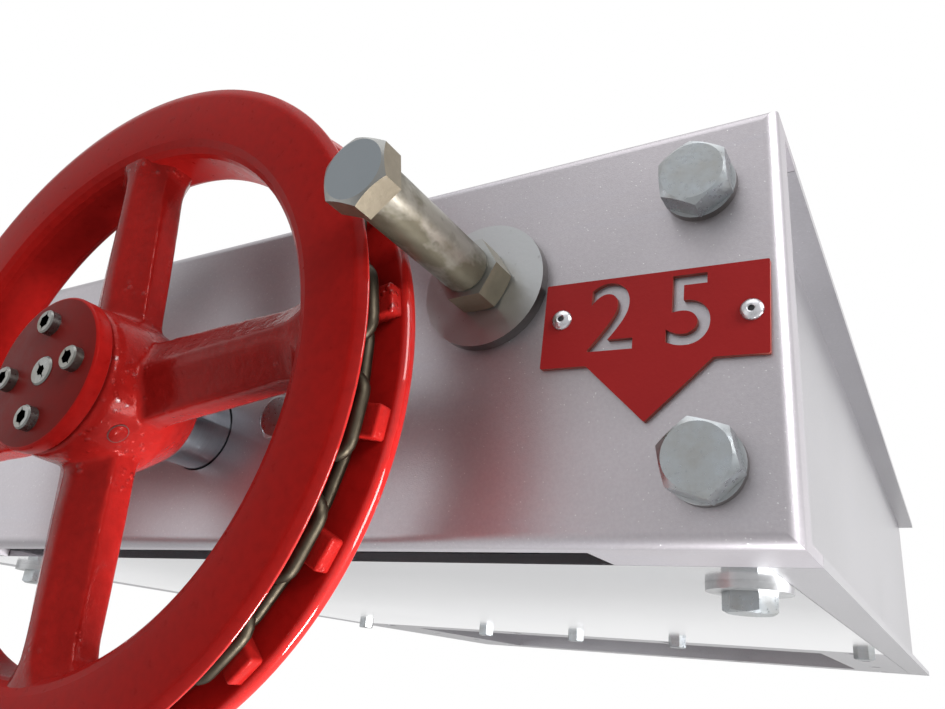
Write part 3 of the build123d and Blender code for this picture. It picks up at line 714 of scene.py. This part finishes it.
def ring_edges(verts):
    """The edges that join these points to each other."""
    inside = set(verts)
    return list({edge for vert in verts for edge in vert.link_edges
                 if edge.other_vert(vert) in inside})


def spoke_ring(bm, radius, width, depth, ridge):
    """One eight-sided section of the spoke that points along X."""
    upright = Matrix.Rotation(math.pi / 8, 4, "Z")
    corner = 1 / math.cos(math.pi / 8)
    section = bmesh.ops.create_circle(bm, radius=corner, segments=8, matrix=upright)["verts"]
    for vert in section:
        side, out, _ = vert.co
        crest = abs(out) > 0.9
        half = math.copysign(ridge / 2, side) if crest else side * width / 2
        vert.co = (radius, -spoke_out - out * depth / 2, half)
    return section


# radius, width, depth and width of the ridge
spoke_sections = [
    (12.0, 36.0, 26.0, 6.0), (30.0, 35.0, 26.0, 5.0), (38.0, 34.0, 26.0, 5.0),
    (52.0, 33.0, 27.0, 5.0), (80.0, 31.0, 27.0, 5.0), (100.0, 29.0, 27.0, 5.0),
    (107.0, 31.0, 27.0, 6.0), (112.0, 38.0, 27.5, 9.0), (116.0, 50.0, 28.0, 14.0),
    (119.5, 68.0, 28.0, 20.0),
]
spider = bmesh.new()
rings = [spoke_ring(spider, *section) for section in spoke_sections]
for first, second in zip(rings, rings[1:]):
    bmesh.ops.bridge_loops(spider, edges=ring_edges(first) + ring_edges(second))
for end in (rings[0], rings[-1]):
    bmesh.ops.edgeloop_fill(spider, edges=ring_edges(end))
one_spoke = spider.verts[:] + spider.edges[:] + spider.faces[:]
for i in range(1, 4):
    copied = only(BMVert, bmesh.ops.duplicate(spider, geom=one_spoke)["geom"])
    quarter_turns = Matrix.Rotation(-math.pi / 2 * i, 3, "Y")
    bmesh.ops.rotate(spider, verts=copied, cent=(0, 0, 0), matrix=quarter_turns)
spoke_tilt = Matrix.Rotation(-spoke_angle, 3, "Y")
bmesh.ops.rotate(spider, verts=spider.verts, cent=(0, 0, 0), matrix=spoke_tilt)
print("faces of four spokes:", len(spider.faces))

# %% [markdown]
# The hub is a turned body with a step and a cone. A second turned ring lies hidden
# in the rim's wall, and gives the spokes something to flow into there.

# %% Hub and the ring in the rim
hub_profile = [
    (13.0, 76.0), (31.6, 76.0), (32.6, 72.0), (33.2, 62.0), (33.4, 50.0), (32.6, 40.0),
    (27.5, 31.5), (20.4, 21.2), (13.0, 21.2),
]
root_profile = [
    (115.4, 58.0), (117.5, 61.5), (120.8, 62.5), (120.8, 40.0), (117.5, 41.5), (115.4, 46.0),
]
turn_profile(spider, hub_profile, 72)
turn_profile(spider, root_profile, 120)
bmesh.ops.recalc_face_normals(spider, faces=spider.faces)
print("rough spider faces:", len(spider.faces))

# %% [markdown]
# Every root of the casting is a generous fillet. Bevels can't follow such a
# junction, but melting can: a Remesh modifier turns the rough shapes that overlap
# into one skin of small cells, and smoothing then flows the corners into each
# other, as the pattern maker's putty did.

# %% Melting shapes into one skin
skin_cell = 1.15
smoothing_rounds = 5


def loose_object(name, bm):
    """A new object from a bmesh, not yet hung on a body."""
    mesh = bpy.data.meshes.new(name)
    bm.to_mesh(mesh)
    bm.free()
    return linked(name, mesh)


def taken_out(loose):
    """The shape of a loose object after its modifiers; the object itself goes."""
    shown = loose.evaluated_get(bpy.context.evaluated_depsgraph_get())
    bm = bmesh.new()
    bm.from_mesh(shown.to_mesh())
    shown.to_mesh_clear()
    bpy.data.objects.remove(loose)
    return bm


rough_spider = loose_object("rough", spider)
remesh = rough_spider.modifiers.new("skin", "REMESH")
remesh.mode = "VOXEL"
remesh.voxel_size = skin_cell
spider = taken_out(rough_spider)
for _ in range(smoothing_rounds):
    bmesh.ops.smooth_vert(spider, verts=spider.verts, factor=0.5,
                          use_axis_x=True, use_axis_y=True, use_axis_z=True)
to_frame(spider)
make_piece(spider, "spokes_and_hub", [cast_red], "drive", ("chain_wheel",), 60.0)

# %% [markdown]
# ## Hub cap and plug
# A disc closes the hub and hides the end of the shaft. It is turned, and a dark joint line parts it from the
# casting, so its back corner is set in a little. Its rounded side has the rim's paint, and its face a darker copy
# of that paint, as painted shade.

# %% Hub cap
cap_front = 84.2
cap_side = 31.2
cap_profile = [
    (0.0, cap_front), (31.3, cap_front), (31.9, 83.95), (32.25, 83.5), (32.4, 82.9),
    (32.4, 77.9), (32.0, 77.3), (30.2, 77.1), (30.2, 75.4), (0.0, 75.4),
]
cap = bmesh.new()
turn_profile(cap, cap_profile, 120, closed=False)
# The rounded side keeps the rim's red; the face takes the darker copy, as painted shade.
for face in cap.faces:
    if all(vert.co.xz.length > cap_side for vert in face.verts):
        face.material_index = 1
to_frame(cap)
make_piece(cap, "hub_cap_disc", [cap_red_painted_shade, turned_red], "drive", ("hub_cap",))

# %% [markdown]
# A painted-over plug sits in the hub between two spokes. It is turned as well, but about its own axis, and then
# laid on its side. A narrow ring round it is the dark joint line, painted near black as the shade at the plug's
# edge.

# %% Plug in the hub
plug_radius = 3.8
joint_radius = 4.2
plug_foot = 30.0
plug_out = 61.7
plug_turn = spoke_angle - math.pi / 4
plug_profile = [
    (0.0, 33.9), (3.2, 33.8), (plug_radius, 33.4), (plug_radius, plug_foot), (0.0, plug_foot),
]
joint_profile = [
    (plug_radius, 33.3), (joint_radius, 33.3), (joint_radius, plug_foot), (plug_radius, plug_foot),
]
plug = bmesh.new()
turn_profile(plug, plug_profile, 32, closed=False)
plug_faces = len(plug.faces)
turn_profile(plug, joint_profile, 32)
# The ring's faces are painted near black: a joint line, and painted shade round the plug.
for face in plug.faces[plug_faces:]:
    face.material_index = 1
lying = Matrix.Translation((0, -plug_out, 0)) @ Matrix.Rotation(math.pi / 2, 4, "Z")
stand = Matrix.Rotation(-plug_turn, 4, "Y") @ lying
bmesh.ops.transform(plug, matrix=stand, verts=plug.verts)
to_frame(plug)
make_piece(plug, "hub_plug", [cast_red, joint_and_painted_shade], "drive", ("hub_pin",))

# %% [markdown]
# ## Socket screws
# A socket screw is a low cylinder with a hexagon sunk in its end. The end face is a
# bridge between a round ring and a hexagon with as many points, which keeps every
# face four-sided, and the hexagon is then pushed in.

# %% A screw head
head_round = 0.6


def ring(bm, radius, lift, capped=False):
    """A circle of points at a height."""
    return bmesh.ops.create_circle(bm, cap_ends=capped, radius=radius, segments=24,
                                   matrix=Matrix.Translation((0, 0, lift)))["verts"]


def socket_head(bm, place, radius, height, flats, depth, turn):
    """A screw head at a place given in metres; returns its socket faces, for the painted shade."""
    base = ring(bm, radius, 0, capped=True)
    shoulder = ring(bm, radius, height - head_round)
    crown = ring(bm, radius - head_round, height)
    mouth = ring(bm, flats / 2, height)
    for vert in mouth:
        angle = math.atan2(vert.co.y, vert.co.x) % (math.pi / 3) - math.pi / 6
        vert.co.xy = vert.co.xy / math.cos(angle)
    for first, second in ((base, shoulder), (shoulder, crown), (crown, mouth)):
        bmesh.ops.bridge_loops(bm, edges=ring_edges(first) + ring_edges(second))
    sunk = bmesh.ops.extrude_edge_only(bm, edges=ring_edges(mouth))["geom"]
    deep_ring = only(BMVert, sunk)
    bmesh.ops.translate(bm, verts=deep_ring, vec=(0, 0, -depth))
    bottom = bmesh.ops.edgeloop_fill(bm, edges=ring_edges(deep_ring))["faces"]
    outward = Matrix.Rotation(math.pi / 2, 4, "X") @ Matrix.Rotation(turn, 4, "Z")
    stand = Matrix.Translation(place) @ outward @ Matrix.Scale(MM, 4)
    made = base + shoulder + crown + mouth + deep_ring
    bmesh.ops.transform(bm, matrix=stand, verts=made)
    return only(BMFace, sunk) + bottom


# %% [markdown]
# Low screws hold the cap, each turned a little further than the last, as screws
# end up. A flat one with a small socket closes the middle.

# %% Screws of the cap
cap_face = axle.y - cap_front * MM
screws = bmesh.new()
# Each socket takes the near-black finish as painted shade.
for number, (low, high) in enumerate(solids_of("cap_screws")):
    middle = (low + high) / 2
    for face in socket_head(screws, (middle.x, cap_face, middle.z), radius=5.0, height=4.0,
                            flats=5.0, depth=3.0, turn=0.4 * number):
        face.material_index = 1
make_piece(screws, "cap_socket_screws", [zinc_small, painted_shade_dark], "drive",
           ("cap_screws",))

centre = bmesh.new()
# This socket too takes the near-black finish as painted shade.
for face in socket_head(centre, (axle.x, cap_face, axle.z), radius=6.2, height=0.8,
                        flats=4.0, depth=0.7, turn=0.2):
    face.material_index = 1
make_piece(centre, "centre_socket_screw", [zinc_small, painted_shade_dark], "drive",
           ("centre_screw",))

# %% [markdown]
# ## Hand chain
# The chain is one loop of welded round-wire links, flat and upright in turn. One
# link is a round section swept round a stadium: half a turn, a straight, half a
# turn, and a bridge that closes it. Copies of it are then laid round the groove.

# %% One link
wire_radius = 2.8
bend_radius = 5.9
link_play = 0.5
chain_radius = 130.6
link_count = 2 * rib_count
link_pitch = 2 * chain_radius * math.sin(math.pi / link_count)
straight_half = (link_pitch + link_play + 2 * wire_radius) / 2 - bend_radius
half_turn = {"axis": (0, 0, 1), "angle": math.pi, "steps": 9}

chain = bmesh.new()
across_wire = (Matrix.Translation((straight_half, -bend_radius, 0))
               @ Matrix.Rotation(math.pi / 2, 4, "Y"))
section = bmesh.ops.create_circle(chain, radius=wire_radius, segments=10,
                                  matrix=across_wire)["verts"]
section_edges = list({edge for vert in section for edge in vert.link_edges})
first_bend = bmesh.ops.spin(chain, geom=section_edges, cent=(straight_half, 0, 0),
                            **half_turn)["geom_last"]
run = bmesh.ops.extrude_edge_only(chain, edges=only(BMEdge, first_bend))["geom"]
run_verts = only(BMVert, run)
bmesh.ops.translate(chain, verts=run_verts, vec=(-2 * straight_half, 0, 0))
run_edges = [edge for edge in chain.edges
             if edge.verts[0] in run_verts and edge.verts[1] in run_verts]
last_bend = bmesh.ops.spin(chain, geom=run_edges, cent=(-straight_half, 0, 0),
                           **half_turn)["geom_last"]
bmesh.ops.bridge_loops(chain, edges=section_edges + only(BMEdge, last_bend))
print("faces in a link:", len(chain.faces), "pitch:", round(link_pitch, 2), "mm")

# %% [markdown]
# The pitch is a chord of the loop, so the links close exactly. Every second link
# is turned a quarter about its own length. The first link was only a pattern, and
# it goes once its copies are in place.

# %% The loop
one_link = chain.verts[:] + chain.edges[:] + chain.faces[:]
along = Matrix.Rotation(math.pi / 2, 4, "Y")
flat = Matrix.Rotation(math.pi / 2, 4, "X")
for i in range(link_count):
    turn = rib_start + 2 * math.pi * i / link_count
    copied = only(BMVert, bmesh.ops.duplicate(chain, geom=one_link)["geom"])
    at_groove = Matrix.Rotation(-turn, 4, "Y") @ Matrix.Translation((chain_radius, -spoke_out, 0))
    own_turn = flat if i % 2 == 0 else Matrix.Identity(4)
    bmesh.ops.transform(chain, matrix=at_groove @ along @ own_turn, verts=copied)
bmesh.ops.delete(chain, geom=only(BMVert, one_link), context="VERTS")
to_frame(chain)
make_piece(chain, "hand_chain_links", [chain_zinc], "drive", ("hand_chain",), 60.0)

# %% [markdown]
# ## Sleeves of the keeper bolts
# Each keeper bolt clamps a tube between its head and its nut, and the chain runs
# past that tube. It is turned about the bolt that the CAD has there, and both ends
# have a small chamfer.

# %% Sleeves
def in_metres(profile):
    """A profile drawn in millimetres, for a piece that stands in the frame already."""
    return [(radius * MM, out * MM) for radius, out in profile]


sleeve_profile = [(9.1, 19.1), (9.5, 19.1), (10.0, 19.6), (10.0, 80.2), (9.5, 80.7), (9.1, 80.7)]
sleeves = bmesh.new()
for low, high in solids_of("keeper_bolts"):
    spot = Vector(((low.x + high.x) / 2, axle.y, (low.z + high.z) / 2))
    turn_profile(sleeves, in_metres(sleeve_profile), 48, spot)
make_piece(sleeves, "keeper_sleeves", [sleeve_zinc], "frame")

# %% [markdown]
# ## Rivets
# The signs hang on blind rivets: a low dome with a hole, in which the broken mandrel is painted near black as the
# hole's shade. Each is a small turned profile at the place of a CAD rivet.

# %% Rivet heads
mandrel_radius = 1.15
mandrel_top = 1.35
rivet_height = 1.6
margin = 0.05
rivet_profile = [
    (0.0, 0.5), (mandrel_radius, 0.5), (mandrel_radius, mandrel_top), (1.6, rivet_height),
    (2.9, 1.35), (3.75, 0.7), (4.0, 0.0), (0.0, 0.0),
]
rivets = bmesh.new()
for low, high in solids_of("sign_rivets"):
    before = len(rivets.faces)
    spot = Vector(((low.x + high.x) / 2, low.y + rivet_height * MM, (low.z + high.z) / 2))
    turn_profile(rivets, in_metres(rivet_profile), 24, spot, closed=False)
    # Faces in the hole take the near-black finish as painted shade.
    for face in rivets.faces[before:]:
        away = max((vert.co - spot).xz.length for vert in face.verts)
        out = max(spot.y - vert.co.y for vert in face.verts)
        if away < (mandrel_radius + margin) * MM and out < (mandrel_top + margin) * MM:
            face.material_index = 1
make_piece(rivets, "rivet_heads", [rivet_bright, painted_shade_dark], "frame",
           ("sign_rivets",))

# %% [markdown]
# ## Sign plates
# Each sign is a cut plate with a broad arrow, and a plain number is cut right
# through it. The cutter is text turned into a closed mesh. Digits without a closed
# loop, such as 1, 2 and 5, lose no loose middle when they are cut.

# %% The number as a cutter
def number_cutter(text):
    """Digits as a closed solid."""
    letters = bpy.data.curves.new("digits", "FONT")
    letters.body = text
    letters.size = 38.0
    letters.offset = 0.35
    letters.space_character = 1.5
    letters.align_x = "CENTER"
    letters.align_y = "CENTER"
    letters.extrude = 5.0
    digits = taken_out(linked("digits", letters))
    bmesh.ops.remove_doubles(digits, verts=digits.verts, dist=1e-4)
    bmesh.ops.recalc_face_normals(digits, faces=digits.faces)
    return loose_object("cutter", digits)


# %% [markdown]
# The plate's outline becomes a face and then a thin block with slightly rounded
# corners, and a Boolean modifier takes the number out of it. The walls of the cut
# get the browned finish. Both signs hang a little lower at their outer ends, so
# the plate is turned by that tilt and set into the box of its CAD node.

# %% Sign plates
sign_width = 82.6
sign_height = 34.4
arrow_width = 46.0
arrow_depth = 22.0
sign_thickness = 2.0
sign_round = 0.5
sign_tilt = math.radians(2.35)


def blank_plate():
    """The plate before its number is cut."""
    half, top, shoulder = sign_width / 2, sign_height / 2, arrow_width / 2
    outline = [(-half, top), (-half, -top), (-shoulder, -top), (0, -top - arrow_depth),
               (shoulder, -top), (half, -top), (half, top)]
    plate = bmesh.new()
    face = plate.faces.new([plate.verts.new((x, y, 0)) for x, y in outline])
    grown = only(BMVert, bmesh.ops.extrude_face_region(plate, geom=[face])["geom"])
    bmesh.ops.translate(plate, verts=grown, vec=(0, 0, sign_thickness))
    bmesh.ops.recalc_face_normals(plate, faces=plate.faces)
    corners = [edge for edge in plate.edges
               if abs(edge.verts[0].co.z - edge.verts[1].co.z) > sign_thickness / 2]
    bmesh.ops.bevel(plate, geom=corners, offset=sign_round, segments=2, profile=0.5,
                    affect="EDGES", material=-1)
    return plate


def sign_plate(name, side, text, node):
    """A plate with its number cut out, at the place of its CAD node."""
    solid = loose_object(name + "_solid", blank_plate())
    cutter = number_cutter(text)
    boolean = solid.modifiers.new("cut", "BOOLEAN")
    boolean.operation = "DIFFERENCE"
    boolean.object = cutter
    boolean.solver = "EXACT"
    cut = taken_out(solid)
    bpy.data.objects.remove(cutter)
    for face in cut.faces:
        face.material_index = 0 if abs(face.normal.z) > 0.5 else 1
    half, top = sign_width / 2, sign_height / 2
    reach = half * math.cos(sign_tilt) + top * math.sin(sign_tilt)
    drop = top * math.cos(sign_tilt) + half * math.sin(sign_tilt)
    low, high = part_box(node)
    spot = Vector(((low.x + high.x) / 2, high.y, high.z - drop * MM))
    upright = Matrix.Rotation(math.pi / 2, 4, "X") @ Matrix.Rotation(-side * sign_tilt, 4, "Z")
    stand = Matrix.Translation(spot) @ upright @ Matrix.Scale(MM, 4)
    bmesh.ops.transform(cut, matrix=stand, verts=cut.verts)
    print(name, "half width:", round(reach, 2), "CAD:", round((high.x - low.x) / 2 / MM, 2))
    make_piece(cut, name, [sign_enamel, sign_cut], "frame", (node,))


sign_plate("sign_plate_right", 1, "25", "sign_right")
sign_plate("sign_plate_left", -1, "15", "sign_left")

# %% [markdown]
# ## Floor and sky
# The gate hangs overhead, so the floor lies well below it. Light Path's camera,
# glossy and transmission rays see a plain white there and in the sky, so the
# background is white and metal mirrors it, without more light on the object. Only
# a share of the floor is plain, so it still takes the object's shadow, and the
# light that falls from the sky stays weak.

# %% Which rays see the plain white
def seen_plainly(wiring):
    """1 for camera, glossy and transmission rays, and 0 for the light that falls."""
    path = wiring.node("ShaderNodeLightPath", {}, {})
    rays = ("Is Camera Ray", "Is Glossy Ray", "Is Transmission Ray")
    seen, *others = wiring.results(path, rays)
    for other in others:
        seen = wiring.node("ShaderNodeMath", {"operation": "MAXIMUM"}, {0: seen, 1: other})
    return seen


# %% Floor
floor_place = (0, -0.1, -0.75)
floor_reach = 6.0
plain_share = 0.6

floor_bm = bmesh.new()
bmesh.ops.create_grid(floor_bm, x_segments=1, y_segments=1, size=floor_reach,
                      matrix=Matrix.Translation(floor_place))
floor = loose_object("floor", floor_bm)
floor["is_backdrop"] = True
floor_finish = Finish("pale_floor", Roughness=0.8)
floor_finish.show(Base_Color=floor_finish.mix(floor_finish.noise(3.0), grey(0.80), grey(0.84)))
plain = seen_plainly(floor_finish) * plain_share
shade = Amount(floor_finish, floor_finish.shader.outputs[0])
white = floor_finish.node("ShaderNodeEmission", {}, {"Color": grey(0.95), "Strength": 1.0})
blended = floor_finish.node("ShaderNodeMixShader", {}, {0: plain, 1: shade, 2: white})
floor_finish.feed(floor_finish.tree.nodes["Material Output"].inputs["Surface"], blended)
floor.data.materials.append(floor_finish.material)
print("floor at", floor_place[2], "m, with", floor_reach, "m to each side")

# %% Sky
sky_light = 0.22
world = bpy.data.worlds.new("studio")
bpy.context.scene.world = world
world.use_nodes = True
sky = Wiring(world.node_tree)
background = world.node_tree.nodes["Background"]
level = sky.node("ShaderNodeMapRange", {},
                 {"Value": seen_plainly(sky), "To Min": sky_light, "To Max": 1.0})
sky.feed(background.inputs["Strength"], level)
sky.feed(background.inputs["Color"], grey(1.0))
bpy.context.scene.view_settings.view_transform = "Standard"
print("light from the sky:", sky_light)

# %% [markdown]
# ## Lamps
# The light in the photograph comes from the right and from above. Large square
# lamps give it, since a large lamp makes soft shadows and wide highlights, and each
# one is turned towards a target. A small one low at the right draws the bright
# lines on the rim's edge.

# %% Lamps
def lamp(name, place, target, size, power):
    """A square lamp that looks at its target."""
    data = bpy.data.lights.new(name, "AREA")
    data.shape = "SQUARE"
    data.size = size
    data.energy = power
    holder = linked(name, data)
    holder.location = place
    aim = Vector(target) - Vector(place)
    holder.rotation_euler = aim.to_track_quat("-Z", "Y").to_euler()
    print("lamp:", name, power, "W")


lamp("window", (1.5, -0.9, 0.7), axle, size=0.7, power=30.0)
lamp("low_window", (1.1, -0.15, -0.55), axle, size=0.5, power=26.0)
lamp("sill", (0.36, -0.40, -0.62), (0.1, -0.5, -0.2), size=0.14, power=6.0)
lamp("ceiling", (0.1, -0.9, 1.2), axle, size=1.2, power=8.0)
lamp("room", (-0.9, -1.4, -0.2), axle, size=1.2, power=4.0)

# %% Finish
size = {"cad": [list(v) for v in cad_box], "visual": [list(v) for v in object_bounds()]}
